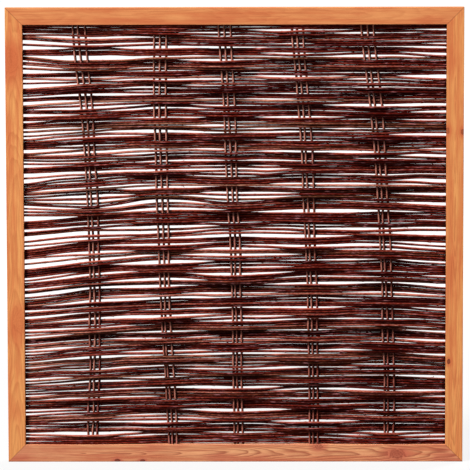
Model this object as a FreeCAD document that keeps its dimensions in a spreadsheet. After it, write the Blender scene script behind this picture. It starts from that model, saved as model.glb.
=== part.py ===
"""A framed willow hurdle: rods woven round upright stakes and clamped between two timber frames.

All lengths are millimetres. The panel stands on the ground with its front towards -Y, its width along X
and its height along Z. The origin is on the ground, under the middle of the panel.
"""

import FreeCAD
import Part
import Sketcher
import math
import os
import random
from types import SimpleNamespace

# Driving dimensions
SIZES = {
    # Outer size of the panel, and the boards of its front and rear frames
    "panel_width": 1800,
    "panel_height": 1800,
    "rail_width": 68,
    "board_thickness": 18,
    "edge_radius": 2,
    # Distance from the outer edge of the frame to the ends of the rods and stakes
    "end_cover": 23,
    # Slack between a stake and each of the two boards that clamp it
    "frame_play": 0.3,
    # Upright stakes, with the clear gap between neighbours in a group
    "stake_diameter": 10,
    "stake_gap_head": 13,
    "stake_gap_foot": 6,
    # Woven rods, thick at the butt and thin at the tip
    "rod_butt_diameter": 11.1,
    "rod_tip_diameter": 9.1,
    "rod_extra_diameter": 0.8,
    "rod_end_reduction": 0.7,
    "rod_clearance": 0.3,
    # Panel height for each rod beyond its own mean diameter, which sets how many bands there are
    "rod_mean_gap": 2.35,
    "rods_in_band": 4,
    # Countersunk screws from the rear frame into the front frame
    "screw_shank": 4,
    "screw_head": 8,
    "screw_bite": 11,
    "screw_inset": 170,
    "screw_spacing": 450,
    "hole_clearance": 0.15,
    # Sideways offset of each stake group from its even place, at its foot, waist and head
    "group_1_foot_offset": -12,
    "group_1_waist_offset": -3,
    "group_1_head_offset": -59,
    "group_2_foot_offset": 34,
    "group_2_waist_offset": -5,
    "group_2_head_offset": -14,
    "group_3_foot_offset": 14,
    "group_3_waist_offset": 0,
    "group_3_head_offset": -39,
    "group_4_foot_offset": 36,
    "group_4_waist_offset": 20,
    "group_4_head_offset": -32,
    "group_5_foot_offset": 53,
    "group_5_waist_offset": 38,
    "group_5_head_offset": -35,
}

GROUPS = 5
COLUMNS = GROUPS + 2
GROUP_STAKES = ("left", "middle", "right")
STAKE_SIDES = 6
STAKE_LEVELS = 5

# The lay of the rods: how uneven the gaps are, where the weave is loose, and how far the left ends sag
LAY_SEED = 11
GAP_UNEVENNESS = 6
GAP_STEADINESS = 0.35
LOOSE_PLACE_SHARE = 0.53
LOOSE_SPREAD_SHARE = 0.11
LOOSE_RATIO = 1.2
SAG_BY_COLUMN = (1.2, 0.8, 0.3, 0.1, 0.1, 0.05, 0.4)
PACKING_IN_BAND = 0.6
PACKING_BETWEEN_BANDS = 2.0
BLOCK_BANDS = 2

# Formulas that several pieces share
SLOT_HALF = "(Sizes.stake_diameter / 2 + Sizes.frame_play)"
SCREW_EDGE = "(Sizes.end_cover / 2)"
CORNER_INSET = "(Sizes.rail_width - Sizes.end_cover)"
SCREW_BORE = "(Sizes.screw_shank + 2 * Sizes.hole_clearance)"


def make_sheet(doc):
    """The spreadsheet of driving dimensions, one named cell each."""
    sheet = doc.addObject("Spreadsheet::Sheet", "Sizes")
    for row, (name, value) in enumerate(SIZES.items(), start=1):
        sheet.set(f"A{row}", name)
        sheet.set(f"B{row}", str(value))
        sheet.setAlias(f"B{row}", name)
    doc.recompute()
    return sheet


def read_sizes(sheet):
    """The sheet's values, with the sizes that follow from them."""
    size = SimpleNamespace(**{name: float(sheet.get(name)) for name in SIZES})
    size.stake_radius = size.stake_diameter / 2
    size.slot_half = size.stake_radius + size.frame_play
    size.inner_width = size.panel_width - 2 * size.rail_width
    size.inner_height = size.panel_height - 2 * size.rail_width
    size.bay = size.inner_width / (GROUPS + 1)
    return size


# Boards


def add_sketch(body, name, plane_role):
    """An empty sketch on one of the body's own origin planes."""
    sketch = body.newObject("Sketcher::SketchObject", name)
    plane = next(item for item in body.Origin.OriginFeatures if item.Role == plane_role)
    sketch.AttachmentSupport = [(plane, "")]
    sketch.MapMode = "FlatFace"
    return sketch


def add_outline(sketch, corners):
    """A closed outline of straight lines that starts at the sketch's origin."""
    points = [FreeCAD.Vector(x, y, 0) for x, y in corners]
    for start, end in zip(points, points[1:] + points[:1]):
        sketch.addGeometry(Part.LineSegment(start, end), False)
    for line in range(len(points)):
        sketch.addConstraint(Sketcher.Constraint("Coincident", line, 2, (line + 1) % len(points), 1))
    sketch.addConstraint(Sketcher.Constraint("Coincident", 0, 1, -1, 1))


def bind_distance(sketch, name, formula, *constraint):
    """A named distance in a sketch, driven by a formula."""
    index = sketch.addConstraint(Sketcher.Constraint(*constraint))
    sketch.renameConstraint(index, name)
    sketch.setExpression(f"Constraints.{name}", formula)


def draw_board(body, length, length_formula, size, mitred):
    """The face of a board: outer edge along the sketch's X from the origin, inner edge above it."""
    mitre = size.rail_width if mitred else 0
    top = size.rail_width
    sketch = add_sketch(body, "Outline", "XZ_Plane")
    add_outline(sketch, [(0, 0), (length, 0), (length - mitre, top), (mitre, top)])
    sketch.addConstraint(Sketcher.Constraint("Horizontal", 0))
    sketch.addConstraint(Sketcher.Constraint("Horizontal", 2))
    bind_distance(sketch, "outer_length", length_formula, "DistanceX", 0, 1, 0, 2, length)
    bind_distance(sketch, "face_width", "Sizes.rail_width", "DistanceY", -1, 1, 2, 2, top)
    if mitred:
        inner_formula = f"{length_formula} - 2 * Sizes.rail_width"
        bind_distance(sketch, "mitre", "Sizes.rail_width", "DistanceX", -1, 1, 2, 2, mitre)
        bind_distance(sketch, "inner_length", inner_formula, "DistanceX", 2, 2, 2, 1, length - 2 * mitre)
    else:
        sketch.addConstraint(Sketcher.Constraint("Vertical", 1))
        sketch.addConstraint(Sketcher.Constraint("Vertical", 3))
    return sketch


def long_edges(shape, depth):
    """The names of a board's long edges on the face at a given depth."""
    names = []
    for number, edge in enumerate(shape.Edges, start=1):
        start, end = (vertex.Point for vertex in edge.Vertexes)
        on_face = abs(start.y - depth) < 1e-6 and abs(end.y - depth) < 1e-6
        if on_face and abs(start.z - end.z) < 1e-6:
            names.append(f"Edge{number}")
    return names


def drill_board(doc, body, holes, through):
    """Screw holes from the board's rear face: countersunk right through, or blind."""
    centres = add_sketch(body, "ScrewCentres", "XZ_Plane")
    for number, (along, inward) in enumerate(holes):
        centres.addGeometry(Part.Circle(FreeCAD.Vector(10, 10, 0), FreeCAD.Vector(0, 0, 1), 1), False)
        bind_distance(centres, f"along_{number}", along, "DistanceX", -1, 1, number, 3, 10)
        bind_distance(centres, f"inward_{number}", inward, "DistanceY", -1, 1, number, 3, 10)
        bind_distance(centres, f"bore_{number}", SCREW_BORE, "Diameter", number, 2)
    doc.recompute()
    drilled = body.newObject("PartDesign::Hole", "ScrewHoles")
    drilled.Profile = centres
    drilled.Reversed = True
    drilled.DrillPoint = "Flat"
    if through:
        drilled.DepthType = "ThroughAll"
        drilled.HoleCutType = "Countersink"
        drilled.HoleCutCustomValues = True
        drilled.HoleCutCountersinkAngle = 90
        drilled.setExpression("HoleCutDiameter", "Sizes.screw_head + 2 * Sizes.hole_clearance")
    else:
        drilled.DepthType = "Dimension"
        drilled.setExpression("Depth", "Sizes.screw_bite + Sizes.hole_clearance")
    drilled.setExpression("Diameter", SCREW_BORE)


def even_screws(size, length, length_formula, clear_formula):
    """Screws at even steps along a board, clear of its ends. The board starts before the clear part."""
    steps = math.ceil((length - 2 * size.screw_inset) / size.screw_spacing)
    span = f"({length_formula} - 2 * Sizes.screw_inset)"
    start = f"{clear_formula} + Sizes.screw_inset"
    return [(f"{start} + {step} / {steps} * {span}", SCREW_EDGE) for step in range(steps + 1)]


def screw_holes(size):
    """Hole places on each kind of board, as distances along it and inward from its outer edge."""
    inner_width = "(Sizes.panel_width - 2 * Sizes.rail_width)"
    inner_height = "(Sizes.panel_height - 2 * Sizes.rail_width)"
    on_rail = even_screws(size, size.inner_width, inner_width, "Sizes.rail_width")
    on_rear_rail = even_screws(size, size.inner_width, inner_width, "0")
    on_stile = even_screws(size, size.inner_height, inner_height, "Sizes.rail_width")
    rail_ends = [(CORNER_INSET, SCREW_EDGE), (f"Sizes.panel_width - {CORNER_INSET}", SCREW_EDGE)]
    stile_ends = [(CORNER_INSET, SCREW_EDGE), (f"Sizes.panel_height - {CORNER_INSET}", SCREW_EDGE)]
    crossings = [(SCREW_EDGE, CORNER_INSET), (f"Sizes.panel_height - {SCREW_EDGE}", CORNER_INSET)]
    return {
        ("front", "rail"): on_rail + rail_ends,
        ("rear", "rail"): on_rear_rail,
        ("front", "stile"): on_stile + stile_ends,
        ("rear", "stile"): on_stile + stile_ends + crossings,
    }


def make_board(doc, size, layer, side, turn, base_x, base_z, holes):
    """One board of a frame. The front frame is mitred; the rear stiles run past the rear rails."""
    kind = side.split("_")[1]
    mitred = layer == "front"
    label = f"{layer}_{side}"
    body = doc.addObject("PartDesign::Body", label)
    body.Label = label
    length, formula = size.panel_height, "Sizes.panel_height"
    if kind == "rail":
        length, formula = size.panel_width, "Sizes.panel_width"
        if not mitred:
            length, formula = size.inner_width, "(Sizes.panel_width - 2 * Sizes.rail_width)"
    outline = draw_board(body, length, formula, size, mitred)
    pad = body.newObject("PartDesign::Pad", "Board")
    pad.Profile = outline
    pad.setExpression("Length", "Sizes.board_thickness")
    doc.recompute()
    shown_face = -size.board_thickness if mitred else 0
    eased = body.newObject("PartDesign::Fillet", "EasedEdges")
    eased.Base = (pad, long_edges(pad.Shape, shown_face))
    eased.setExpression("Radius", "Sizes.edge_radius")
    doc.recompute()
    solid_volume = body.Shape.Volume
    drill_board(doc, body, holes[layer, kind], through=not mitred)
    body.Placement.Rotation = FreeCAD.Rotation(FreeCAD.Vector(0, 1, 0), turn)
    body.setExpression("Placement.Base.x", base_x)
    rear_face = f"-{SLOT_HALF}" if mitred else f"{SLOT_HALF} + Sizes.board_thickness"
    body.setExpression("Placement.Base.y", rear_face)
    body.setExpression("Placement.Base.z", base_z)
    doc.recompute()
    if body.Shape.Volume > solid_volume - 1:
        raise RuntimeError(f"{label} was not drilled")
    return body


def make_frames(doc, size):
    """The four boards of the front frame and the four of the rear frame."""
    holes = screw_holes(size)
    half = "Sizes.panel_width / 2"
    boards = []
    for layer in ("front", "rear"):
        rail_half = half if layer == "front" else f"({half} - Sizes.rail_width)"
        places = {
            "bottom_rail": (0, f"-{rail_half}", "0"),
            "top_rail": (180, rail_half, "Sizes.panel_height"),
            "left_stile": (90, f"-{half}", "Sizes.panel_height"),
            "right_stile": (-90, half, "0"),
        }
        for side, (turn, base_x, base_z) in places.items():
            boards.append(make_board(doc, size, layer, side, turn, base_x, base_z, holes))
    return boards


# Screws


def make_screw(doc, size):
    """One countersunk screw with its head at the origin, pointing along -Y."""
    head = size.screw_head / 2
    shank = size.screw_shank / 2
    head_depth = head - shank
    length = size.board_thickness + 2 * size.slot_half + size.screw_bite
    body = doc.addObject("PartDesign::Body", "screw")
    profile = add_sketch(body, "Profile", "XY_Plane")
    corners = [(0, 0), (head, 0), (shank, -head_depth), (shank, -length), (0, -length)]
    add_outline(profile, corners)
    profile.addConstraint(Sketcher.Constraint("Horizontal", 0))
    profile.addConstraint(Sketcher.Constraint("Vertical", 2))
    profile.addConstraint(Sketcher.Constraint("Horizontal", 3))
    profile.addConstraint(Sketcher.Constraint("Vertical", 4))
    depth_formula = "(Sizes.screw_head - Sizes.screw_shank) / 2"
    length_formula = f"Sizes.board_thickness + 2 * {SLOT_HALF} + Sizes.screw_bite"
    bind_distance(profile, "head", "Sizes.screw_head / 2", "DistanceX", 0, 1, 0, 2, head)
    bind_distance(profile, "shank", "Sizes.screw_shank / 2", "DistanceX", -1, 1, 2, 1, shank)
    bind_distance(profile, "head_depth", depth_formula, "DistanceY", 2, 1, -1, 1, head_depth)
    bind_distance(profile, "length", length_formula, "DistanceY", 3, 2, -1, 1, length)
    turned = body.newObject("PartDesign::Revolution", "Turned")
    turned.Profile = profile
    turned.ReferenceAxis = (profile, ["V_Axis"])
    turned.Angle = 360
    doc.recompute()
    return body


def make_screws(doc, size, boards):
    """All the screws as one group of separate solids, one in each hole of the rear boards."""
    screw = make_screw(doc, size)
    screws = []
    for board in boards:
        if not board.Label.startswith("rear"):
            continue
        centres = next(item for item in board.Group if item.Name.startswith("ScrewCentres"))
        for circle in centres.Geometry:
            hole = FreeCAD.Vector(circle.Center.x, 0, circle.Center.y)
            screws.append(screw.Shape.translated(board.Placement.multVec(hole)))
    return add_solid(doc, "frame_screws", Part.makeCompound(screws), FreeCAD.Vector(0, 0, 0))


# Stakes and rods


def add_solid(doc, label, shape, base):
    """A named piece whose shape is measured from a base point, placed at that point."""
    item = doc.addObject("Part::Feature", label)
    item.Label = label
    item.Shape = shape
    item.Placement = FreeCAD.Placement(base, FreeCAD.Rotation())
    return item


def flat_face(corners):
    """A flat face with straight edges."""
    return Part.Face(Part.makePolygon(corners + corners[:1]))


def stick_through(sections):
    """A stick with flat sides through cross-sections whose sides are parallel."""
    faces = [flat_face(sections[0]), flat_face(sections[-1])]
    for near, far in zip(sections, sections[1:]):
        for corner in range(len(near)):
            following = (corner + 1) % len(near)
            faces.append(flat_face([near[corner], near[following], far[following], far[corner]]))
    return Part.makeSolid(Part.makeShell(faces))


def group_offset(size, group, share):
    """Sideways offset of a stake group at a share of the height: one bend through foot, waist and head."""
    levels = ("foot", "waist", "head")
    foot, waist, head = (getattr(size, f"group_{group + 1}_{level}_offset") for level in levels)
    foot_part = 2 * (share - 0.5) * (share - 1)
    waist_part = 4 * share * (1 - share)
    head_part = 2 * share * (share - 0.5)
    return foot * foot_part + waist * waist_part + head * head_part


def stake_levels(size):
    """The heights at which every stake has a cross-section, from foot to head."""
    length = size.panel_height - 2 * size.end_cover
    return [size.end_cover + length * level / (STAKE_LEVELS - 1) for level in range(STAKE_LEVELS)]


def group_at(size, group, height):
    """The middle of a stake group and the distance between its stakes at a height."""
    levels = stake_levels(size)
    span = next(n for n in range(1, STAKE_LEVELS) if height <= levels[n] or n == STAKE_LEVELS - 1)
    part = (height - levels[span - 1]) / (levels[span] - levels[span - 1])
    even_place = -size.inner_width / 2 + (group + 1) * size.bay
    ends = [group_offset(size, group, levels[n] / size.panel_height) for n in (span - 1, span)]
    middle = even_place + ends[0] + part * (ends[1] - ends[0])
    share = (height - size.end_cover) / (size.panel_height - 2 * size.end_cover)
    gap = size.stake_gap_foot + share * (size.stake_gap_head - size.stake_gap_foot)
    return middle, size.stake_diameter + gap


def make_stakes(doc, size):
    """Three upright stakes in each group, clamped in the frame at head and foot."""
    turns = [math.pi / 2 + 2 * math.pi * side / STAKE_SIDES for side in range(STAKE_SIDES)]
    outline = [FreeCAD.Vector(math.cos(turn), math.sin(turn), 0) * size.stake_radius for turn in turns]
    stakes = []
    for group in range(GROUPS):
        for place, name in enumerate(GROUP_STAKES):
            centres = []
            for height in stake_levels(size):
                middle, spacing = group_at(size, group, height)
                centres.append(FreeCAD.Vector(middle + (place - 1) * spacing, 0, height))
            foot = centres[0]
            sections = [[centre - foot + corner for corner in outline] for centre in centres]
            stakes.append(add_solid(doc, f"stake_{group + 1}_{name}", stick_through(sections), foot))
    return stakes


def looseness(share, column):
    """How open the weave is at a share of the height in one column."""
    loose = LOOSE_RATIO * math.exp(-(((share - LOOSE_PLACE_SHARE) / LOOSE_SPREAD_SHARE) ** 2))
    return 1 + loose + SAG_BY_COLUMN[column] * (share - 0.5)


def rod_radii(size, number, chance):
    """Radii of one rod in each column. One rod of each band lies with its butt to the left."""
    per_band = int(size.rods_in_band)
    butt_right = number % per_band != number // per_band % per_band
    extra = chance.uniform(-1, 1) * size.rod_extra_diameter
    radii = []
    for column in range(COLUMNS):
        share = column / (COLUMNS - 1)
        thickness = share if butt_right else 1 - share
        diameter = size.rod_tip_diameter + thickness * (size.rod_butt_diameter - size.rod_tip_diameter)
        if column in (0, COLUMNS - 1):
            diameter -= size.rod_end_reduction
        radii.append((diameter + extra) / 2)
    return radii


def gap_weights(size, number, chance):
    """Relative height of the gap below one rod in each column: most are small and a few are large."""
    steady = chance.random()
    weights = []
    for column in range(COLUMNS):
        packing = 1
        if 0 < column <= GROUPS:
            packing = PACKING_IN_BAND if number % int(size.rods_in_band) else PACKING_BETWEEN_BANDS
        mixed = GAP_STEADINESS * steady + (1 - GAP_STEADINESS) * chance.random()
        weights.append(packing * mixed**GAP_UNEVENNESS)
    return weights


def stack_column(size, radii, weights, column):
    """Heights of all rods in one column, bottom up. Each block of bands gets its share of the room."""
    count = len(radii)
    block_rods = BLOCK_BANDS * int(size.rods_in_band)
    blocks = [range(start, min(start + block_rods, count)) for start in range(0, count, block_rods)]
    rooms = [len(block) * looseness(block[len(block) // 2] / count, column) for block in blocks]
    filled = sum(2 * rod[column] for rod in radii) + (count + 1) * size.rod_clearance
    free = size.inner_height - filled
    heights = []
    top = size.rail_width
    for block, room in zip(blocks, rooms):
        total = sum(weights[number][column] for number in block)
        for number in block:
            gap = size.rod_clearance + free * room / sum(rooms) * weights[number][column] / total
            heights.append(top + gap + radii[number][column])
            top += gap + 2 * radii[number][column]
    return heights


def lay_rods(size):
    """Radii and heights of all rods from the bottom up, in columns: left stile, stake groups, right stile."""
    chance = random.Random(LAY_SEED)
    mean_pitch = (size.rod_butt_diameter + size.rod_tip_diameter) / 2 + size.rod_mean_gap
    bands = int(size.panel_height // (int(size.rods_in_band) * mean_pitch))
    numbers = range(bands * int(size.rods_in_band))
    radii = [rod_radii(size, number, chance) for number in numbers]
    weights = [gap_weights(size, number, chance) for number in numbers]
    columns = [stack_column(size, radii, weights, column) for column in range(COLUMNS)]
    heights = [[column[number] for column in columns] for number in numbers]
    return bands, radii, heights


def rod_path(size, band, radii, heights):
    """Centres and radii along one rod, passing each stake group on alternate sides."""
    half_width = size.inner_width / 2
    end = size.panel_width / 2 - size.end_cover
    end_radii = [min(radius, size.stake_radius) for radius in (radii[0], radii[-1])]
    groups = [group_at(size, group, heights[group + 1]) for group in range(GROUPS)]
    across = [-half_width] + [middle for middle, spacing in groups] + [half_width]
    path = [(-end, 0, heights[0], end_radii[0]), (-half_width, 0, heights[0], end_radii[0])]
    for group, (middle, spacing) in enumerate(groups):
        column = group + 1
        reach = size.stake_radius + radii[column] + size.rod_clearance
        swings = [1 if column == 1 else 2, 1 if column == GROUPS else 2]
        steps = [middle - across[column - 1], across[column + 1] - middle]
        dip = max(swing * spacing / step for swing, step in zip(swings, steps))
        front = -1 if (band + group) % 2 == 0 else 1
        path.append((middle, front * reach / (1 - dip), heights[column], radii[column]))
    path.append((half_width, 0, heights[-1], end_radii[1]))
    path.append((end, 0, heights[-1], end_radii[1]))
    return path


def make_rod(path, base):
    """One rod with a four-sided section, tapered along its path and measured from a base point."""
    sections = []
    for across, depth, height, radius in path:
        centre = FreeCAD.Vector(across, depth, height) - base
        corners = [(radius, 0), (0, radius), (-radius, 0), (0, -radius)]
        sections.append([centre + FreeCAD.Vector(0, y, z) for y, z in corners])
    return stick_through(sections)


def make_bands(doc, size):
    """The weave: bands of rods, each band passing the stake groups on the other side than the band below."""
    bands, radii, heights = lay_rods(size)
    per_band = int(size.rods_in_band)
    pieces = []
    for band in range(bands):
        numbers = range(band * per_band, (band + 1) * per_band)
        base = FreeCAD.Vector(0, 0, heights[numbers[0]][0])
        rods = [make_rod(rod_path(size, band, radii[n], heights[n]), base) for n in numbers]
        pieces.append(add_solid(doc, f"weaver_band_{band + 1:02d}", Part.makeCompound(rods), base))
    return pieces


def check(doc, pieces):
    """Stops if any feature failed or any piece has no valid shape."""
    for item in doc.Objects:
        if "Invalid" in item.State or "Error" in item.State:
            raise RuntimeError(f"{item.Label}: {item.State}")
    for piece in pieces:
        if piece.Shape.isNull() or not piece.Shape.isValid():
            raise RuntimeError(f"{piece.Label}: no valid shape")


def export(pieces):
    """Writes every piece under its label."""
    os.makedirs("parts", exist_ok=True)
    for piece in pieces:
        piece.Shape.exportStep(f"parts/{piece.Label}.step")


def main():
    doc = FreeCAD.newDocument("willow_hurdle")
    size = read_sizes(make_sheet(doc))
    boards = make_frames(doc, size)
    screws = make_screws(doc, size, boards)
    stakes = make_stakes(doc, size)
    bands = make_bands(doc, size)
    doc.recompute()
    pieces = boards + [screws] + stakes + bands
    check(doc, pieces)
    export(pieces)


main()
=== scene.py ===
"""Looks of the woven willow hurdle: bent round rods and stakes, grained boards, screws, light and camera."""

import math

import bpy
import numpy as np
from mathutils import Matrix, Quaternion, Vector


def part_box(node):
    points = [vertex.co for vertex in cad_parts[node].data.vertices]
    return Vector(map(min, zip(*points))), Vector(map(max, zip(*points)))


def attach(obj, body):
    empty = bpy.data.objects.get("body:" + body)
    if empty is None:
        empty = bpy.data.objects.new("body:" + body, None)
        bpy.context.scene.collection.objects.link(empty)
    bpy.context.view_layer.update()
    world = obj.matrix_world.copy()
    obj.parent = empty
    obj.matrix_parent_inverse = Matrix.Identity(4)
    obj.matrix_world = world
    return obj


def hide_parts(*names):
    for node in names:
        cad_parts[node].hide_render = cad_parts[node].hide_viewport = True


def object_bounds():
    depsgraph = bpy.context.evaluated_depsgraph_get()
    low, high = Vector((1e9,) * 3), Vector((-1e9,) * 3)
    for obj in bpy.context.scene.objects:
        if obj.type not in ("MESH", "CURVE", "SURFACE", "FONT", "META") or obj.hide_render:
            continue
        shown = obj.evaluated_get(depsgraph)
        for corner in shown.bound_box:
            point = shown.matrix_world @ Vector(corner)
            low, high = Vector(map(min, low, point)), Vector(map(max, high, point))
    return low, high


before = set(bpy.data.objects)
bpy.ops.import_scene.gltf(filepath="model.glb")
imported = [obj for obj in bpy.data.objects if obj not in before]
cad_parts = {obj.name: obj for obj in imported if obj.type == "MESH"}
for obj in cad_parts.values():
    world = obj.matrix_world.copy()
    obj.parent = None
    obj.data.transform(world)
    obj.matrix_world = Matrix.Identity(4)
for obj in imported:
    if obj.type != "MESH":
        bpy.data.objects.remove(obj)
cad_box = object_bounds()


def tint(red, green, blue):
    """A colour given as it looks on a screen, each part from 0 to 255, as light values."""
    shares = [part / 255 for part in (red, green, blue)]
    light = [s / 12.92 if s <= 0.04045 else ((s + 0.055) / 1.055) ** 2.4 for s in shares]
    return (*light, 1.0)


def grey(level):
    """A grey given as a light value."""
    return (level, level, level, 1.0)


SEED = 23
X, Y, Z = 0, 1, 2
SIDEWAYS = np.array((1.0, 0.0, 0.0))
UPWARDS = np.array((0.0, 0.0, 1.0))
PANEL_WIDTH = 2 * cad_box[1].x
PANEL_HEIGHT = cad_box[1].z
OPENING_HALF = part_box("front_right_stile")[0].x
POINT_DIGITS = 6
DEPTH_DIGITS = 4
RING_DIGITS = 5

# Camera, from the corners of the frame in the photograph
CAMERA_TARGET = Vector((0.0005, -0.0233, 0.9042))
CAMERA_DISTANCE = 14.0
CAMERA_AZIMUTH = 0.555
CAMERA_ELEVATION = 6.094
CAMERA_ROLL = -0.127
CAMERA_LENS = 272.182
CAMERA_SENSOR = 36.0
CAMERA_REACH = 400.0

# Sticks
BANDS = 36
GROUPS = 5
STAKE_NAMES = ("left", "middle", "right")
ROD_CORNERS = 4
STAKE_CORNERS = 6
ROD_SIDES = 10
STAKE_SIDES = 12
RING_SPACING = 0.015
LEAST_RING_STEP = 0.001
OVALNESS = 0.04
OVAL_TWIST = 3
STAKE_CLEARANCE = 0.0005
STAKE_WANDER = 0.002
STAKE_WANDER_SPACING = 0.17
MIDDLE_NEARER_LEFT = 0.003
DEPTH_WANDER = 0.002
DEPTH_WANDER_SPACING = 0.16
END_REACH = 0.05

# How full the rods are, more so at the stakes and to the right
ROD_FULLNESS = 1.07
FULLNESS_ACROSS = 0.03
STAKE_FULLNESS = 0.10
FULL_REACH = 0.06

# Gaps between rods
FIRST_GROUP_STATION = 2
BLOCK_RODS = 8
CLOSED_GAP = 0.0008
LEAST_GAP = 0.00001
PRESS = 0.0008
GAP_SPACING = 0.17
GAP_CHANGE = 0.38
GAP_MOST = 2.2
GAP_SHUT = (0.0, 0.8)
GAP_FILL = 1.2
EASING_ROUNDS = 8
KINK = 0.00025
KINK_SPACING = 0.06
SLANT = 0.0009
SLANT_SPACING = 0.30

# How stakes hold the bands that pass them
STAKE_REACH = 0.08
REACH_RANGE = (0.7, 1.6)
HOLD_RANGE = (0.2, 1.0)
STAKE_GRIP = 0.95
STAKE_SPREAD = 0.9
STAKE_PRESS = 0.0016
STAKE_PILE = 0.005
BAND_GRIP = 0.6

# Buds, and stubs of cut side shoots
BUD_SPACING = (0.04, 0.10)
BUD_HEIGHT = (0.0004, 0.0013)
BUD_LENGTH = 0.004
BUD_SPREAD = 0.6
BUD_STRAY = 0.4
BUD_TURN = math.radians(144)
BUD_RINGS = (-0.0045, 0.0, 0.0045)
FIRST_BUD_RING = 0.002
NODE_SWELLING = 0.06
STUB_CHANCE = 0.10
STUB_LENGTH = (0.004, 0.010)
STUB_RADII = (0.0017, 0.0013, 0.0008)
STUB_SIDES = 6
STUB_LEAN = 0.8
STUB_ROOT = 0.3

# Lightness of sticks, from 0 to 1, and its changes
ROD_TONE = 0.515
ROD_TONE_SPREAD = 0.18
STAKE_TONE = 0.88
STAKE_TONE_SPREAD = 0.12
STAKE_TONE_RISE = 0.28
TONE_ACROSS = -0.12
# Painted shade: sticks are painted darker close to the frame's inner edges, where they go in under the boards
PAINTED_FRAME_SHADE = 0.55
PAINTED_FRAME_SHADE_REACH = 0.007
OLIVE_FROM = 0.7
OLIVE_MOST = 0.8

# Colours of bark from dark to pale
ROD_COLOURS = (
    (0.0, tint(40, 4, 1)),
    (0.3, tint(74, 12, 6)),
    (0.5, tint(110, 25, 14)),
    (0.72, tint(158, 62, 45)),
    (1.0, tint(218, 142, 120)),
)
OLIVE_COLOURS = (
    (0.0, tint(26, 12, 5)),
    (0.3, tint(62, 32, 16)),
    (0.5, tint(96, 56, 32)),
    (0.72, tint(140, 94, 66)),
    (1.0, tint(196, 154, 122)),
)
STAKE_COLOURS = (
    (0.0, tint(72, 14, 8)),
    (0.5, tint(136, 56, 42)),
    (1.0, tint(214, 142, 122)),
)

# Patterns on bark and wood: how finely they change along and across, and where they start
BLOTCH = {"along": 20.0, "across": 0.9, "start": 0.0, "detail": 4.0, "roughness": 0.65}
FLECK = {"along": 90.0, "across": 2.6, "start": 12.0, "detail": 2.0, "roughness": 0.5}
BARK_STREAK = {"along": 34.0, "across": 5.0, "start": 3.0, "detail": 3.0, "roughness": 0.5}
BLOOM = {"along": 27.0, "across": 1.3, "start": 6.0, "detail": 3.0, "roughness": 0.6}
PORES = {"along": 420.0, "across": 7.0, "start": 9.0, "detail": 1.0, "roughness": 0.5}
DRIFT = {"along": 2.2, "across": 10.0, "start": 2.0, "detail": 3.0, "roughness": 0.5}
FIBRE = {"along": 9.0, "across": 300.0, "start": 0.0, "detail": 4.0, "roughness": 0.7}
WOOD_STREAK = {"along": 2.4, "across": 62.0, "start": 7.0, "detail": 4.0, "roughness": 0.6}
CLOUD = {"along": 4.5, "across": 17.0, "start": 9.0, "detail": 4.0, "roughness": 0.6}
RAGGED = {"along": 160.0, "across": 160.0, "start": 0.0, "detail": 2.0, "roughness": 0.5}
MIDDLE_OF_NOISE = 0.5
MOST_OF_NOISE = (0.2, 0.8)

# Bark
BARK_LENGTH = 60.0
BLOTCH_CHANGE = 0.8
FLECK_CHANGE = 1.0
STREAK_FROM_TO = (0.3, 0.7)
STREAK_SHARE = 0.55
STREAK_TINT = tint(32, 2, 2)
BLOOM_FROM_TO = (0.56, 0.7)
BLOOM_SHARE = 0.6
BLOOM_TINT = tint(208, 135, 139)
PORE_FROM_TO = (0.66, 0.76)
PORE_SHARE = 0.35
PORE_TINT = tint(176, 134, 118)
PORE_HEIGHT = 0.4
BARK_GLOSS = 0.02
BARK_BUMP = 0.6
BARK_DEPTH = 0.0008
ROD_ROUGHNESS = (0.26, 0.46)
STAKE_ROUGHNESS = (0.32, 0.52)

# Painted shade on the sides of sticks: the top and bottom of rods, where they lie against each other, and the
# right-hand side of stakes; where a rod's gap is open the shade is mostly lifted and a pale painted highlight
# is added
SHADED_BOTH_SIDES = (0.15, 0.8)
SHADED_RIGHT_SIDE = (-0.45, 0.3)
PAINTED_SHADE_SHARE = 0.95
PAINTED_SHADE_TINT = tint(30, 2, 2)
# Where a gap is open: how wide it must be to count as fully open, how much painted shade is lifted, and the
# pale painted highlight
FULLY_OPEN_GAP = 0.003
OPEN_GAP_SHADE_LIFT = 0.9
PAINTED_GAP_HIGHLIGHT_SHARE = 0.45
PAINTED_GAP_HIGHLIGHT_TINT = tint(224, 120, 96)

# Stained wood: its pale, plain, deep and red colours
WARM = (tint(244, 168, 98), tint(228, 138, 80), tint(176, 84, 42), tint(212, 106, 62))
TAWNY = (tint(234, 154, 94), tint(218, 128, 76), tint(178, 86, 46), tint(206, 102, 60))
ROSY = (tint(248, 178, 126), tint(222, 133, 92), tint(150, 64, 43), tint(208, 104, 80))
WOOD_STREAK_FROM_TO = (0.38, 0.66)
WOOD_STREAK_SHARE = 1.0
CLOUD_FROM_TO = (0.45, 0.72)
CLOUD_SHARE = 0.6
FIBRE_FROM_TO = (0.42, 0.78)
FIBRE_SHARE = 0.5
WOOD_ROUGHNESS = (0.5, 0.72)
WOOD_GLOSS = 0.25
WOOD_BUMP = 0.35
WOOD_DEPTH = 0.0005
BOARD_STEP = 3.7

# Growth rings, which are dark late in each year
YEAR = 0.0042
YEAR_DRIFT = 0.035
YEAR_SHADES = ((0.0, grey(0.0)), (0.45, grey(0.2)), (0.85, grey(1.0)), (1.0, grey(0.0)))
LATE_HEIGHT = 0.3

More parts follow.
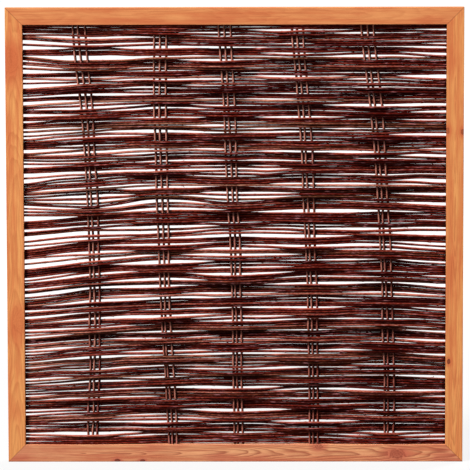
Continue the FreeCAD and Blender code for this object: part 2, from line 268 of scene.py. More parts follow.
# Knots, in shares of their radius
KNOT_TINT = tint(92, 26, 14)
KNOT_STRETCH = 0.6
KNOT_RAGGEDNESS = 0.6
KNOT_BEND = -0.75
KNOT_BEND_REACH = 4.5
KNOT_LIFT = 0.9
KNOT_LIFT_REACH = 1.8
KNOT_EDGE = (0.8, 1.3)
KNOT_SHARE = 0.75
KNOT_OUTLINE = 1.05
KNOT_OUTLINE_WIDTH = 0.4
KNOT_RED_REACH = 3.0
KNOT_RED_SHARE = 0.7

# Dark lines where mitred boards meet
MITRE_FROM_TO = (0.0008, 0.0030)
MITRE_SHARE = 0.42

# Each board: its colours, how deep behind it the heart of the log lay, how the log slanted, how clear its
# rings are, and its knots: place along, place across from the middle, radius and darkness
BOARDS = {
    "front_left_stile": {
        "shade": WARM,
        "heart": 0.050,
        "slant": 0.030,
        "clearness": 0.34,
        "knots": (
            (0.56, 0.016, 0.022, 0.0),
            (1.59, -0.010, 0.024, 0.0),
        ),
    },
    "front_right_stile": {
        "shade": WARM,
        "heart": 0.034,
        "slant": -0.022,
        "clearness": 0.42,
        "knots": (
            (0.40, -0.022, 0.0065, 1.0),
            (1.315, -0.030, 0.008, 0.5),
            (1.31, 0.029, 0.007, 0.7),
        ),
    },
    "front_top_rail": {
        "shade": TAWNY,
        "heart": 0.080,
        "slant": 0.020,
        "clearness": 0.22,
        "knots": (),
    },
    "front_bottom_rail": {
        "shade": ROSY,
        "heart": 0.030,
        "slant": 0.034,
        "clearness": 0.72,
        "knots": (
            (-0.468, -0.028, 0.0065, 1.0),
            (-0.368, -0.030, 0.006, 1.0),
            (0.64, -0.004, 0.017, 0.35),
            (0.33, 0.026, 0.010, 0.35),
        ),
    },
    "rear_left_stile": {
        "shade": WARM,
        "heart": 0.045,
        "slant": -0.026,
        "clearness": 0.38,
        "knots": (
            (0.62, 0.010, 0.009, 0.7),
            (1.42, -0.015, 0.007, 0.8),
        ),
    },
    "rear_right_stile": {
        "shade": WARM,
        "heart": 0.036,
        "slant": 0.024,
        "clearness": 0.38,
        "knots": ((1.11, -0.008, 0.008, 0.8),),
    },
    "rear_top_rail": {
        "shade": TAWNY,
        "heart": 0.040,
        "slant": -0.030,
        "clearness": 0.38,
        "knots": ((-0.30, 0.010, 0.008, 0.8),),
    },
    "rear_bottom_rail": {
        "shade": ROSY,
        "heart": 0.030,
        "slant": 0.028,
        "clearness": 0.48,
        "knots": (
            (0.22, -0.012, 0.009, 0.8),
            (-0.51, 0.014, 0.014, 0.1),
        ),
    },
}

# Plating on the screws
PLATING_COLOURS = ((0.3, tint(150, 146, 132)), (0.7, tint(196, 192, 176)))
PLATING_SCALE = 900.0
PLATING_ROUGHNESS = (0.3, 0.5)

# Floor and light
FLOOR_SIZE = 120.0
FLOOR_GLOW = 0.835
FLOOR_FADE = (2.5, 7.0)
FLOOR_SEEN = grey(0.09)
FLOOR_BOUNCE = grey(0.12)
AMBIENT = 0.3
LIGHT_AIM = (0.0, 0.0, 0.9)
KEY_PLACE = (-15.0, -16.0, 27.0)
KEY_SIZE = 9.0
KEY_POWER = 17400.0
BACK_PLACE = (16.0, 20.0, 12.0)
BACK_SIZE = 7.0
BACK_POWER = 7900.0


class Paint:
    """A material and its nodes, added one at a time."""

    def __init__(self, name):
        self.material = bpy.data.materials.new(name)
        self.material.use_nodes = True
        self.nodes = self.material.node_tree.nodes
        self.links = self.material.node_tree.links
        self.shader = self.nodes["Principled BSDF"]

    def feed(self, socket, value):
        """Links an output to a socket, or sets the socket's own value."""
        if isinstance(value, bpy.types.NodeSocket):
            self.links.new(value, socket)
        else:
            socket.default_value = value

    def add(self, kind, inputs, **settings):
        """A new node with its settings made and its inputs fed."""
        node = self.nodes.new(kind)
        for name, value in settings.items():
            setattr(node, name, value)
        for socket, value in inputs.items():
            self.feed(node.inputs[socket], value)
        return node

    def surface(self, **values):
        """Feeds sockets of the shader, whose names are given with _ for a space."""
        for name, value in values.items():
            self.feed(self.shader.inputs[name.replace("_", " ")], value)

    def calculate(self, operation, first, second=0.0, clamp=False):
        """The result of one sum."""
        node = self.add("ShaderNodeMath", {0: first, 1: second}, operation=operation, use_clamp=clamp)
        return node.outputs[0]

    def length(self, vector):
        """How long a vector is."""
        return self.add("ShaderNodeVectorMath", {0: vector}, operation="LENGTH").outputs["Value"]

    def parts(self, vector):
        """The three parts of a vector."""
        return self.add("ShaderNodeSeparateXYZ", {0: vector}).outputs

    def vector(self, first, second, third=0.0):
        """A vector put together from its parts."""
        return self.add("ShaderNodeCombineXYZ", {0: first, 1: second, 2: third}).outputs[0]

    def attribute(self, name, output):
        """A value that the mesh carries at its points."""
        return self.add("ShaderNodeAttribute", {}, attribute_name=name).outputs[output]

    def place(self):
        """The place on the object, in metres."""
        return self.add("ShaderNodeTexCoord", {}).outputs["Object"]

    def stretch(self, vector, scale, offset):
        """A vector with each part scaled and then moved."""
        node = self.add("ShaderNodeMapping", {"Vector": vector, "Scale": scale, "Location": offset})
        return node.outputs[0]

    def noise(self, vector, scale=1.0, detail=3.0, roughness=0.5):
        """Cloudy noise from 0 to 1."""
        inputs = {"Vector": vector, "Scale": scale, "Detail": detail, "Roughness": roughness}
        return self.add("ShaderNodeTexNoise", inputs).outputs[0]

    def grain(self, vector, pattern, shift=0.0):
        """Cloudy noise that follows a stick or board as its pattern says."""
        scale = (pattern["along"], pattern["across"], pattern["across"])
        placed = self.stretch(vector, scale, (pattern["start"] + shift, 0.0, 0.0))
        return self.noise(placed, detail=pattern["detail"], roughness=pattern["roughness"])

    def swing(self, noise, change):
        """Noise as a change to both sides of zero."""
        return self.calculate("MULTIPLY", self.calculate("SUBTRACT", noise, MIDDLE_OF_NOISE), change)

    def span(self, value, low, high, new_low=0.0, new_high=1.0):
        """A value carried smoothly from one span to another."""
        inputs = {"Value": value, "From Min": low, "From Max": high, "To Min": new_low, "To Max": new_high}
        return self.add("ShaderNodeMapRange", inputs, interpolation_type="SMOOTHSTEP").outputs[0]

    def ramp(self, value, stops):
        """A colour read from a row of colours by a value."""
        node = self.add("ShaderNodeValToRGB", {0: value})
        elements = node.color_ramp.elements
        while len(elements) < len(stops):
            elements.new(1.0)
        for element, (position, colour) in zip(elements, stops):
            element.position = position
            element.color = colour
        return node.outputs[0]

    def mix(self, share, first, second):
        """Two colours mixed by a share."""
        node = self.add("ShaderNodeMix", {}, data_type="RGBA", blend_type="MIX")
        self.feed(node.inputs[0], share)
        self.feed(node.inputs[6], first)
        self.feed(node.inputs[7], second)
        return node.outputs[2]

    def stain(self, colour, value, from_to, share, second):
        """A colour that takes on a second one where a value is high."""
        return self.mix(self.span(value, *from_to, 0.0, share), colour, second)

    def bump(self, height, strength, distance):
        """A bumpy normal from a height."""
        inputs = {"Height": height, "Strength": strength, "Distance": distance}
        return self.add("ShaderNodeBump", inputs).outputs[0]


def new_object(name, data):
    """A new object in the scene."""
    made = bpy.data.objects.new(name, data)
    bpy.context.scene.collection.objects.link(made)
    return made


def solid_points(node):
    """The corners of each solid in a node, one array for a solid."""
    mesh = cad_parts[node].data
    places = np.array([vertex.co for vertex in mesh.vertices])
    points, index = np.unique(np.round(places, POINT_DIGITS), axis=0, return_inverse=True)
    faces = [index.ravel()[list(face.vertices)] for face in mesh.polygons]
    owner = np.arange(len(points))
    settled = False
    while not settled:
        settled = True
        for face in faces:
            lowest = owner[face].min()
            if (owner[face] != lowest).any():
                owner[face] = lowest
                settled = False
    return [points[owner == name] for name in np.unique(owner)]


def cross_sections(points, along, corners, across):
    """Centre and radius of each cross-section of a solid stick, in order along an axis."""
    rows = points[np.argsort(points[:, along], kind="stable")].reshape(-1, corners, 3)
    return rows.mean(axis=1), np.ptp(rows[:, :, across], axis=1) / 2


def even_places(knots):
    """Places at even steps from the first knot to the last."""
    length = knots[-1] - knots[0]
    return np.linspace(knots[0], knots[-1], round(length / RING_SPACING) + 1)


def smooth_slopes(knots, values):
    """Slopes of a smooth line through values at knots, level at both ends."""
    slopes = np.zeros_like(values)
    slopes[1:-1] = (values[2:] - values[:-2]) / (knots[2:] - knots[:-2])
    return slopes


def smooth_line(knots, values, slopes, places):
    """Values at places on the smooth line through the knots."""
    part = np.clip(np.searchsorted(knots, places) - 1, 0, len(knots) - 2)
    step = knots[part + 1] - knots[part]
    t = (places - knots[part]) / step
    rise = 3 * t**2 - 2 * t**3
    leave = (t**3 - 2 * t**2 + t) * step * slopes[part]
    arrive = (t**3 - t**2) * step * slopes[part + 1]
    return (1 - rise) * values[part] + rise * values[part + 1] + leave + arrive


def wander(rng, places, spacing, size):
    """A smooth line that strays to both sides of zero."""
    knots = np.arange(places[0] - 2 * spacing, places[-1] + 3 * spacing, spacing)
    values = rng.normal(0.0, size, len(knots))
    return smooth_line(knots, values, smooth_slopes(knots, values), places)


def bell(offset, reach):
    """A share that is 1 at no offset and falls off smoothly to both sides."""
    return np.exp(-((offset / reach) ** 2))


def unit(vectors):
    """Vectors brought to a length of 1."""
    return vectors / np.linalg.norm(vectors, axis=-1, keepdims=True)


def hold(rng, places, stations, band):
    """How stakes hold a band along its length: up to 1 before a group of stakes, down to -1 behind one."""
    found = np.zeros_like(places)
    for group, station in enumerate(stations):
        reach = STAKE_REACH * rng.uniform(*REACH_RANGE)
        near = rng.uniform(*HOLD_RANGE) * bell(places - station, reach)
        found += near if (band + group) % 2 == 0 else -near
    return found


def gaps_between(height, radius):
    """How far apart neighbouring rods are, below zero where they are pressed together."""
    return np.diff(height, axis=0) - radius[1:] - radius[:-1]


def open_gaps(rng, places, gaps, held):
    """The gaps between rods, varied, tighter before stakes and wider behind them, and how rods press."""
    room = np.maximum(gaps - CLOSED_GAP, 0.0)
    press = np.full_like(room, PRESS)
    in_band = len(held) // BANDS
    for gap in range(len(room)):
        room[gap] *= np.clip(1 + wander(rng, places, GAP_SPACING, GAP_CHANGE), 0.0, GAP_MOST)
        if (gap + 1) % in_band:
            before = np.maximum(held[gap], 0.0)
            behind = np.maximum(-held[gap], 0.0)
            room[gap] *= 1 - STAKE_GRIP * before + STAKE_SPREAD * behind
            press[gap] += STAKE_PRESS * before
        else:
            room[gap] *= 1 - BAND_GRIP * np.maximum(np.abs(held[gap]), np.abs(held[gap + 1]))
    return room, press


def stack(rng, places, height, radius, room, press):
    """Heights of rods with those gaps, fitted block by block to where the rods are."""
    laid = height.copy()
    shut = np.interp(places, places[[0, -1]], GAP_SHUT)
    starts = list(range(0, len(height) - 1, BLOCK_RODS))
    for first, last in zip(starts, starts[1:] + [len(height) - 1]):
        sums = radius[first:last] + radius[first + 1 : last + 1] - press[first:last]
        free = np.maximum(height[last] - height[first] - sums.sum(axis=0), 0.0)
        typical = room[first:last].mean(axis=0) + LEAST_GAP
        kept = np.maximum(room[first:last] - shut * typical, 0.0)
        kept = kept / (1 + kept / (GAP_FILL * typical)) + LEAST_GAP
        share = kept * free / kept.sum(axis=0)
        laid[first + 1 : last] = height[first] + np.cumsum(sums + share, axis=0)[:-1]
    for _ in range(EASING_ROUNDS):
        laid[:, 1:-1] = (laid[:, :-2] + 2 * laid[:, 1:-1] + laid[:, 2:]) / 4
    for line in laid:
        line += wander(rng, places, KINK_SPACING, KINK) + wander(rng, places, SLANT_SPACING, SLANT)
    return laid


def read_rods():
    """Centres and radii of the cross-sections of all solid rods, from the bottom up."""
    rods = []
    for band in range(1, BANDS + 1):
        solids = solid_points(f"weaver_band_{band:02d}")
        read = [cross_sections(points, X, ROD_CORNERS, Z) for points in solids]
        rods += sorted(read, key=lambda rod: rod[0][:, Z].mean())
    return rods


def lay_rods(rng, stake_radius):
    """Smooth paths of all rods from the bottom up: places along, then depth, height and radius there."""
    rods = read_rods()
    in_band = len(rods) // BANDS
    places = even_places(rods[0][0][:, X])
    stations = rods[0][0][FIRST_GROUP_STATION : FIRST_GROUP_STATION + GROUPS, X]
    near = bell(places[:, None] - stations, FULL_REACH).max(axis=1)
    fullness = ROD_FULLNESS + FULLNESS_ACROSS * places + STAKE_FULLNESS * near
    across, height, radius, held = [], [], [], []
    for number, (centres, radii) in enumerate(rods):
        knots = centres[:, X]
        stations = knots[FIRST_GROUP_STATION : FIRST_GROUP_STATION + GROUPS]
        band, place_in_band = divmod(number, in_band)
        held.append(held[-1] if place_in_band else hold(rng, places, stations, band))
        side = np.sign(np.round(centres[:, Y], DEPTH_DIGITS))
        depth = side * (stake_radius + radii + STAKE_CLEARANCE)
        free = np.clip((knots[-1] - np.abs(places)) / END_REACH - 1, 0.0, 1.0)
        stray = free * wander(rng, places, DEPTH_WANDER_SPACING, DEPTH_WANDER)
        piled = STAKE_PILE * (number % 2) * np.maximum(held[-1], 0.0)
        across.append(smooth_line(knots, depth, np.zeros_like(depth), places) + stray - piled)
        height.append(smooth_line(knots, centres[:, Z], smooth_slopes(knots, centres[:, Z]), places))
        radius.append(fullness * np.interp(places, knots, radii))
    across, height, radius, held = (np.array(rows) for rows in (across, height, radius, held))
    room, press = open_gaps(rng, places, gaps_between(height, radius), held)
    return places, across, stack(rng, places, height, radius, room, press), radius


def bud_places(rng, length):
    """Where the buds of a stick sit along it, on which side, and how high they are."""
    found = []
    place = rng.uniform(0.0, BUD_SPACING[1])
    side = rng.uniform(0.0, 2 * math.pi)
    while place < length - BUD_SPACING[0]:
        found.append((place, side + rng.normal(0.0, BUD_STRAY), rng.uniform(*BUD_HEIGHT)))
        place += rng.uniform(*BUD_SPACING)
        side += BUD_TURN
    return found


def ring_places(run, buds):
    """Where the rings of points lie along a stick: at its steps and about its buds."""
    extra = [place + shift for place, _, _ in buds for shift in BUD_RINGS if place + shift > FIRST_BUD_RING]
    rings = np.unique(np.round(np.concatenate([run, extra]), RING_DIGITS))
    return rings[np.concatenate([[True], np.diff(rings) > LEAST_RING_STEP])]


def tube_faces(rings, sides, start=0):
    """Faces of a closed tube whose points lie ring after ring."""
    faces = []
    for ring in range(rings - 1):
        for side in range(sides):
            here = start + ring * sides + side
            beside = start + ring * sides + (side + 1) % sides
            faces.append((here, beside, beside + sides, here + sides))
    faces.append(tuple(range(start + sides - 1, start - 1, -1)))
    faces.append(tuple(range(start + (rings - 1) * sides, start + rings * sides)))
    return faces


def even_angles(sides):
    """Angles at even steps once round."""
    return np.linspace(0.0, 2 * math.pi, sides, endpoint=False)


def circle(angles, first, second):
    """Unit spokes at angles round an axis, given two directions across it."""
    turned = np.cos(angles)[:, None] * first[..., None, :]
    return turned + np.sin(angles)[:, None] * second[..., None, :]


def stub(rng, base, spoke, ahead, radius):
    """Points of the short stub of a cut side shoot, which leans towards the tip of its rod."""
    axis = unit(spoke + STUB_LEAN * ahead)
    across = unit(np.cross(axis, ahead))
    spokes = circle(even_angles(STUB_SIDES), across, np.cross(across, axis))
    reaches = np.linspace(STUB_ROOT * radius, radius + rng.uniform(*STUB_LENGTH), len(STUB_RADII))
    rings = [base + reach * axis + girth * spokes for reach, girth in zip(reaches, STUB_RADII)]
    return np.concatenate(rings)


def stick_skin(rng, centres, radii, sides, upright):
    """Points and faces of a round stick with buds and stubs, and for each point its place on the bark."""
    steps = np.linalg.norm(np.diff(centres, axis=0), axis=1)
    run = np.concatenate([[0.0], np.cumsum(steps)])
    buds = bud_places(rng, run[-1])
    rings = ring_places(run, buds)
    middle = np.stack([np.interp(rings, run, part) for part in centres.T], axis=1)
    girth = np.interp(rings, run, radii)
    ahead = unit(np.gradient(middle, axis=0))
    first = unit(np.cross(ahead, upright))
    second = np.cross(first, ahead)
    angles = even_angles(sides)
    oval = OVALNESS * np.cos(2 * (angles - rng.uniform(0, math.pi) - OVAL_TWIST * rings[:, None]))
    reach = girth[:, None] * (1 + oval)
    for place, side, size in buds:
        near = bell(rings - place, BUD_LENGTH)
        facing = bell(np.angle(np.exp(1j * (angles - side))), BUD_SPREAD)
        reach += near[:, None] * (size * facing + NODE_SWELLING * girth[:, None])
    points = [(middle[:, None, :] + reach[:, :, None] * circle(angles, first, second)).reshape(-1, 3)]
    faces = tube_faces(len(rings), sides)
    along = rng.uniform(0.0, BARK_LENGTH)
    around = np.tile(angles, len(rings))
    bark = [np.stack([np.repeat(rings, sides) + along, np.cos(around), np.sin(around)], axis=1)]
    for place, side, _ in buds:
        if rng.random() < STUB_CHANCE:
            at = int(np.argmin(np.abs(rings - place)))
            spoke = circle(np.array([side]), first[at], second[at])[0]
            shoot = stub(rng, middle[at], spoke, ahead[at], girth[at])
            faces += tube_faces(len(STUB_RADII), STUB_SIDES, sum(len(part) for part in points))
            points.append(shoot)
            bark.append(np.tile((place + along, math.cos(side), math.sin(side)), (len(shoot), 1)))
    return np.concatenate(points), faces, np.concatenate(bark)


def add_sticks(name, sticks, material, node):
    """One piece made of sticks, each with its skin, its two values of colour and how open the gap beside each
    of its sides is.
    """
    points, faces, bark = [], [], []
    values = {"tone": [], "olive": [], "gap_openness": []}
    for (stick_points, stick_faces, stick_bark), tone, olive, gap_openness in sticks:
        start = sum(len(rows) for rows in points)
        points.append(stick_points)
        faces += [tuple(start + corner for corner in face) for face in stick_faces]
        bark.append(stick_bark)
        # Painted shade: tone is lowered close to the frame's inner edges
        inward = np.maximum(OPENING_HALF - np.abs(stick_points[:, X]), 0.0)
        shade = PAINTED_FRAME_SHADE * bell(inward, PAINTED_FRAME_SHADE_REACH)
        values["tone"].append(tone + TONE_ACROSS * stick_points[:, X] - shade)
        values["olive"].append(np.full(len(stick_points), olive))
        values["gap_openness"].append(np.zeros(len(stick_points)) + gap_openness)
    mesh = bpy.data.meshes.new(name)
    mesh.from_pydata(np.concatenate(points).tolist(), [], faces)
    places = mesh.attributes.new("bark", "FLOAT_VECTOR", "POINT")
    places.data.foreach_set("vector", np.concatenate(bark).ravel())
    for attribute, rows in values.items():
        mesh.attributes.new(attribute, "FLOAT", "POINT").data.foreach_set("value", np.concatenate(rows))
    mesh.polygons.foreach_set("use_smooth", [len(face) == 4 for face in faces])
    mesh.materials.append(material)
    mesh.validate()
    piece = new_object(name, mesh)
    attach(piece, "root")
    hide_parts(node)


def willow(name, stops, roughness, shaded_sides):
    """Bark with streaks, blotches, bloom and pale pores, painted shade on both sides of a stick or on its
    right side, and a pale painted highlight where the gap beside a rod is open.
    """
    paint = Paint(name)
    bark = paint.attribute("bark", "Vector")
    streak = paint.grain(bark, BARK_STREAK)
    bloom = paint.grain(bark, BLOOM)
    pores = paint.grain(bark, PORES)
    blotched = paint.swing(paint.grain(bark, BLOTCH), BLOTCH_CHANGE)
    flecked = paint.swing(paint.grain(bark, FLECK), FLECK_CHANGE)
    change = paint.calculate("ADD", blotched, flecked)
    level = paint.calculate("ADD", paint.attribute("tone", "Fac"), change, clamp=True)
    olive = paint.attribute("olive", "Fac")
    colour = paint.mix(olive, paint.ramp(level, stops), paint.ramp(level, OLIVE_COLOURS))
    colour = paint.stain(colour, streak, STREAK_FROM_TO, STREAK_SHARE, STREAK_TINT)
    colour = paint.stain(colour, bloom, BLOOM_FROM_TO, BLOOM_SHARE, BLOOM_TINT)
    colour = paint.stain(colour, pores, PORE_FROM_TO, PORE_SHARE, PORE_TINT)
    # Painted shade: the top and bottom sides of rods, or the right-hand sides of stakes, are darkened
    beside = paint.parts(bark)[Z]
    if shaded_sides is SHADED_BOTH_SIDES:
        beside = paint.calculate("ABSOLUTE", beside)
    side_shade = paint.span(beside, *shaded_sides, 0.0, PAINTED_SHADE_SHARE)
    # Where a rod's gap is open, the painted shade is mostly lifted and a pale painted highlight is mixed in
    gap_openness = paint.attribute("gap_openness", "Fac")
    gap_highlight = paint.calculate("MULTIPLY", side_shade, paint.span(gap_openness, 0.0, 1.0, 0.0, PAINTED_GAP_HIGHLIGHT_SHARE))
    colour = paint.mix(gap_highlight, colour, PAINTED_GAP_HIGHLIGHT_TINT)
    painted_shade = paint.calculate("MULTIPLY", side_shade, paint.span(gap_openness, 0.0, 1.0, 1.0, 1 - OPEN_GAP_SHADE_LIFT))
    colour = paint.mix(painted_shade, colour, PAINTED_SHADE_TINT)
    height = paint.calculate("ADD", streak, paint.calculate("MULTIPLY", pores, PORE_HEIGHT))
    paint.surface(Base_Color=colour)
    paint.surface(Roughness=paint.span(streak, *MOST_OF_NOISE, *roughness))
    paint.surface(Specular_IOR_Level=BARK_GLOSS)
    paint.surface(Normal=paint.bump(height, BARK_BUMP, BARK_DEPTH))
    return paint.material


def make_stakes(rng):
    """All stakes, and the radius of the thickest one."""
    # Stakes get painted shade on their right-hand sides
    bark = willow("willow_stake_bark", STAKE_COLOURS, STAKE_ROUGHNESS, SHADED_RIGHT_SIDE)
    thickest = 0.0
    for group in range(1, GROUPS + 1):
        for stick in STAKE_NAMES:
            node = f"stake_{group}_{stick}"
            centres, radii = cross_sections(solid_points(node)[0], Z, STAKE_CORNERS, Y)
            thickest = max(thickest, radii.max())
            knots = centres[:, Z]
            places = even_places(knots)
            lean = smooth_line(knots, centres[:, X], smooth_slopes(knots, centres[:, X]), places)
            lean += wander(rng, places, STAKE_WANDER_SPACING, STAKE_WANDER)
            if stick == "middle":
                lean -= MIDDLE_NEARER_LEFT
            path = np.stack([lean, np.zeros_like(places), places], axis=1)
            skin = stick_skin(rng, path, np.interp(places, knots, radii), STAKE_SIDES, SIDEWAYS)
            tone = rng.normal(STAKE_TONE, STAKE_TONE_SPREAD)
            tone += STAKE_TONE_RISE * (skin[0][:, Z] - PANEL_HEIGHT / 2)
            add_sticks(f"round_{node}", [(skin, tone, 0.0, 0.0)], bark, node)
    return thickest


def make_rods(rng, stake_radius):
    """All rods, in bands that pass the stakes together."""
    # Rods get painted shade on their top and bottom sides
    bark = willow("willow_rod_bark", ROD_COLOURS, ROD_ROUGHNESS, SHADED_BOTH_SIDES)
    places, across, height, radius = lay_rods(rng, stake_radius)
    in_band = len(across) // BANDS
    # How open the gap beside each side of a rod is; an open gap lifts the painted shade there and brings a
    # pale painted highlight
    opened = np.clip(gaps_between(height, radius) / FULLY_OPEN_GAP, 0.0, 1.0)
    opened = np.pad(opened, ((1, 1), (0, 0)))
    for band in range(BANDS):
        sticks = []
        for rod in range(band * in_band, (band + 1) * in_band):
            path = np.stack([places, across[rod], height[rod]], axis=1)
            skin = stick_skin(rng, path, radius[rod], ROD_SIDES, UPWARDS)
            olive = OLIVE_MOST * max(0.0, rng.random() - OLIVE_FROM) / (1 - OLIVE_FROM)
            tone = rng.normal(ROD_TONE, ROD_TONE_SPREAD)
            below, above = (np.interp(skin[0][:, X], places, opened[gap]) for gap in (rod, rod + 1))
            gap_openness = np.where(skin[2][:, Z] > 0, above, below)
            sticks.append((skin, tone, olive, gap_openness))
        node = f"weaver_band_{band + 1:02d}"
        add_sticks(f"round_{node}", sticks, bark, node)


class BoardPaint(Paint):
    """Stained softwood with its grain along one axis."""

    def __init__(self, name, along, across, middle):
        super().__init__(name)
        parts = self.parts(self.place())
        self.run = parts[along]
        self.side = self.calculate("SUBTRACT", parts[across], middle)
        self.depth = parts[Y]
        self.ragged = self.grain(self.place(), RAGGED)

    def knots(self, knots):
        """How far knots bend the grain and lift the rings, and masks of knots and of red wood round them."""
        bend, lift, dark, red = 0.0, 0.0, 0.0, 0.0
        for knot_run, knot_side, radius, darkness in knots:
            off_run = self.calculate("MULTIPLY", self.calculate("SUBTRACT", self.run, knot_run), KNOT_STRETCH)
            off_side = self.calculate("SUBTRACT", self.side, knot_side)
            far = self.length(self.vector(off_run, off_side))
            turn = self.span(far, 0.0, KNOT_BEND_REACH * radius, KNOT_BEND, 0.0)
            bend = self.calculate("ADD", bend, self.calculate("MULTIPLY", off_side, turn))
            ragged = self.calculate("MULTIPLY", self.ragged, KNOT_RAGGEDNESS * radius)
            edge = self.calculate("ADD", far, ragged)
            raised = self.span(edge, 0.0, KNOT_LIFT_REACH * radius, KNOT_LIFT * radius, 0.0)
            lift = self.calculate("ADD", lift, raised)
            low, high = (share * radius for share in KNOT_EDGE)
            inside = self.span(edge, low, high, KNOT_SHARE * darkness, 0.0)
            off_edge = self.calculate("ABSOLUTE", self.calculate("SUBTRACT", edge, KNOT_OUTLINE * radius))
            outline = self.span(off_edge, 0.0, KNOT_OUTLINE_WIDTH * radius, darkness, 0.0)
            dark = self.calculate("MAXIMUM", dark, self.calculate("MAXIMUM", inside, outline))
            reddened = self.span(far, radius, KNOT_RED_REACH * radius, KNOT_RED_SHARE, 0.0)
            red = self.calculate("MAXIMUM", red, reddened)
        return bend, lift, dark, red

    def late_wood(self, heart_depth, slant, drift, lift):
        """How far each place is into the dark part of a growth ring."""
        heart = self.calculate("ADD", self.calculate("MULTIPLY", self.run, slant), heart_depth)
        heart = self.calculate("ADD", heart, self.depth)
        heart = self.calculate("ADD", heart, self.calculate("MULTIPLY", drift, YEAR_DRIFT))
        ring = self.calculate("ADD", self.length(self.vector(heart, self.side)), lift)
        return self.ramp(self.calculate("FRACT", self.calculate("DIVIDE", ring, YEAR)), YEAR_SHADES)

    def mitre(self):
        """How dark the lines are where mitred boards meet, and 0 away from them."""
        centre = self.stretch(self.place(), (1.0, 1.0, 1.0), (0.0, 0.0, -PANEL_HEIGHT / 2))
        centre = self.add("ShaderNodeVectorMath", {0: centre}, operation="ABSOLUTE").outputs[0]
        from_centre = self.parts(centre)
        level = self.calculate("SUBTRACT", PANEL_HEIGHT / 2, from_centre[Z])
        upright = self.calculate("SUBTRACT", PANEL_WIDTH / 2, from_centre[X])
        off = self.calculate("ABSOLUTE", self.calculate("SUBTRACT", level, upright))
        return self.span(off, *MITRE_FROM_TO, MITRE_SHARE, 0.0)


def board_paint(name, board, axes, middle, shift, mitred):
    """The paint of one board: streaks, growth rings, fibres, red wood, knots and mitre lines."""
    pale, plain, deep, red = board["shade"]
    paint = BoardPaint(name, *axes, middle)
    bend, lift, dark, redness = paint.knots(board["knots"])
    place = paint.vector(paint.run, paint.calculate("ADD", paint.side, bend), paint.depth)
    drift = paint.grain(place, DRIFT, shift)
    fibre = paint.grain(place, FIBRE, shift)
    streak = paint.grain(place, WOOD_STREAK, shift)
    cloud = paint.grain(place, CLOUD, shift)
    late = paint.late_wood(board["heart"], board["slant"], drift, lift)
    colour = paint.stain(pale, streak, WOOD_STREAK_FROM_TO, WOOD_STREAK_SHARE, plain)
    colour = paint.stain(colour, cloud, CLOUD_FROM_TO, CLOUD_SHARE, red)
    colour = paint.mix(redness, colour, red)
    colour = paint.mix(paint.calculate("MULTIPLY", late, board["clearness"]), colour, deep)
    colour = paint.stain(colour, fibre, FIBRE_FROM_TO, FIBRE_SHARE, deep)
    colour = paint.mix(dark, colour, KNOT_TINT)
    if mitred:
        colour = paint.mix(paint.mitre(), colour, KNOT_TINT)
    height = paint.calculate("ADD", fibre, paint.calculate("MULTIPLY", late, LATE_HEIGHT))
    paint.surface(Base_Color=colour)
    paint.surface(Roughness=paint.span(fibre, *MOST_OF_NOISE, *WOOD_ROUGHNESS))
    paint.surface(Specular_IOR_Level=WOOD_GLOSS)
    paint.surface(Normal=paint.bump(height, WOOD_BUMP, WOOD_DEPTH))
    return paint.material


def plating_paint():
    """Cloudy zinc plating."""
    paint = Paint("zinc_plating")
    cloud = paint.noise(paint.place(), scale=PLATING_SCALE)
    paint.surface(Base_Color=paint.ramp(cloud, PLATING_COLOURS))
    paint.surface(Metallic=1.0)
    paint.surface(Roughness=paint.span(cloud, *MOST_OF_NOISE, *PLATING_ROUGHNESS))
    return paint.material


def dress(node, material):
    """Gives a node one material."""
    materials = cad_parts[node].data.materials
    materials.clear()
    materials.append(material)


def make_frame():
    """Grain on the eight boards and plating on the screws."""
    for number, (node, board) in enumerate(BOARDS.items()):
        low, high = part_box(node)
        along, across = (Z, X) if node.endswith("stile") else (X, Z)
        middle = (low[across] + high[across]) / 2
        shift = BOARD_STEP * number
        mitred = node.startswith("front")
        dress(node, board_paint(f"stained_{node}", board, (along, across), middle, shift, mitred))
    dress("frame_screws", plating_paint())


def direct_view(nodes, links):
    """An output that is 1 for what the camera sees directly, in a mirror or through glass."""
    path = nodes.new("ShaderNodeLightPath")
    share = path.outputs["Is Camera Ray"]
    for name in ("Is Glossy Ray", "Is Transmission Ray"):
        either = nodes.new("ShaderNodeMath")
        either.operation = "MAXIMUM"
        links.new(share, either.inputs[0])
        links.new(path.outputs[name], either.inputs[1])
        share = either.outputs[0]
    return share


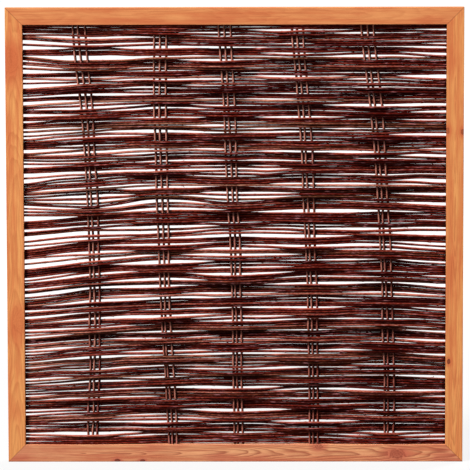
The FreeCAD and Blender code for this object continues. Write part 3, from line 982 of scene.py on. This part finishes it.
def make_floor():
    """A wide pale floor that looks white and keeps a faint shadow."""
    half = FLOOR_SIZE / 2
    mesh = bpy.data.meshes.new("floor")
    corners = [(-half, -half, 0.0), (half, -half, 0.0), (half, half, 0.0), (-half, half, 0.0)]
    mesh.from_pydata(corners, [], [(0, 1, 2, 3)])
    floor = new_object("floor", mesh)
    paint = Paint("pale_floor")
    mesh.materials.append(paint.material)
    paint.nodes.remove(paint.shader)
    seen = paint.add("ShaderNodeBsdfDiffuse", {"Color": FLOOR_SEEN})
    level = paint.span(paint.length(paint.place()), *FLOOR_FADE, FLOOR_GLOW, 1.0)
    glow = paint.add("ShaderNodeEmission", {"Color": grey(1.0), "Strength": level})
    bright = paint.add("ShaderNodeAddShader", {0: seen.outputs[0], 1: glow.outputs[0]})
    plain = paint.add("ShaderNodeBsdfDiffuse", {"Color": FLOOR_BOUNCE})
    share = direct_view(paint.nodes, paint.links)
    both = paint.add("ShaderNodeMixShader", {0: share, 1: plain.outputs[0], 2: bright.outputs[0]})
    paint.links.new(both.outputs[0], paint.nodes["Material Output"].inputs["Surface"])


def make_world():
    """A white surround that lights the object only a little."""
    world = bpy.data.worlds.new("studio")
    world.use_nodes = True
    bpy.context.scene.world = world
    nodes, links = world.node_tree.nodes, world.node_tree.links
    strength = nodes.new("ShaderNodeMix")
    links.new(direct_view(nodes, links), strength.inputs[0])
    strength.inputs[2].default_value = AMBIENT
    strength.inputs[3].default_value = 1.0
    nodes["Background"].inputs["Color"].default_value = grey(1.0)
    links.new(strength.outputs[0], nodes["Background"].inputs["Strength"])


def make_light(name, place, size, power):
    """A square soft light that faces the middle of the panel."""
    light = bpy.data.lights.new(name, "AREA")
    light.size = size
    light.energy = power
    lamp = new_object(name, light)
    lamp.location = place
    lamp.rotation_mode = "QUATERNION"
    lamp.rotation_quaternion = (Vector(LIGHT_AIM) - Vector(place)).to_track_quat("-Z", "Y")


def make_camera():
    """The camera at the photograph's viewing angle."""
    camera = bpy.data.cameras.new("camera")
    camera.lens = CAMERA_LENS
    camera.sensor_fit = "HORIZONTAL"
    camera.sensor_width = CAMERA_SENSOR
    camera.clip_end = CAMERA_REACH
    holder = new_object("camera", camera)
    azimuth, elevation = math.radians(CAMERA_AZIMUTH), math.radians(CAMERA_ELEVATION)
    flat = math.cos(elevation)
    back = Vector((math.sin(azimuth) * flat, -math.cos(azimuth) * flat, math.sin(elevation)))
    holder.location = CAMERA_TARGET + CAMERA_DISTANCE * back
    holder.rotation_mode = "QUATERNION"
    roll = Quaternion((0.0, 0.0, 1.0), math.radians(CAMERA_ROLL))
    holder.rotation_quaternion = (-back).to_track_quat("-Z", "Y") @ roll
    bpy.context.scene.camera = holder


bpy.context.scene.view_settings.view_transform = "Standard"
chance = np.random.default_rng(SEED)
thickest_stake = make_stakes(chance)
make_rods(chance, thickest_stake)
make_frame()
make_floor()
make_world()
make_light("key_light", KEY_PLACE, KEY_SIZE, KEY_POWER)
make_light("back_light", BACK_PLACE, BACK_SIZE, BACK_POWER)
make_camera()
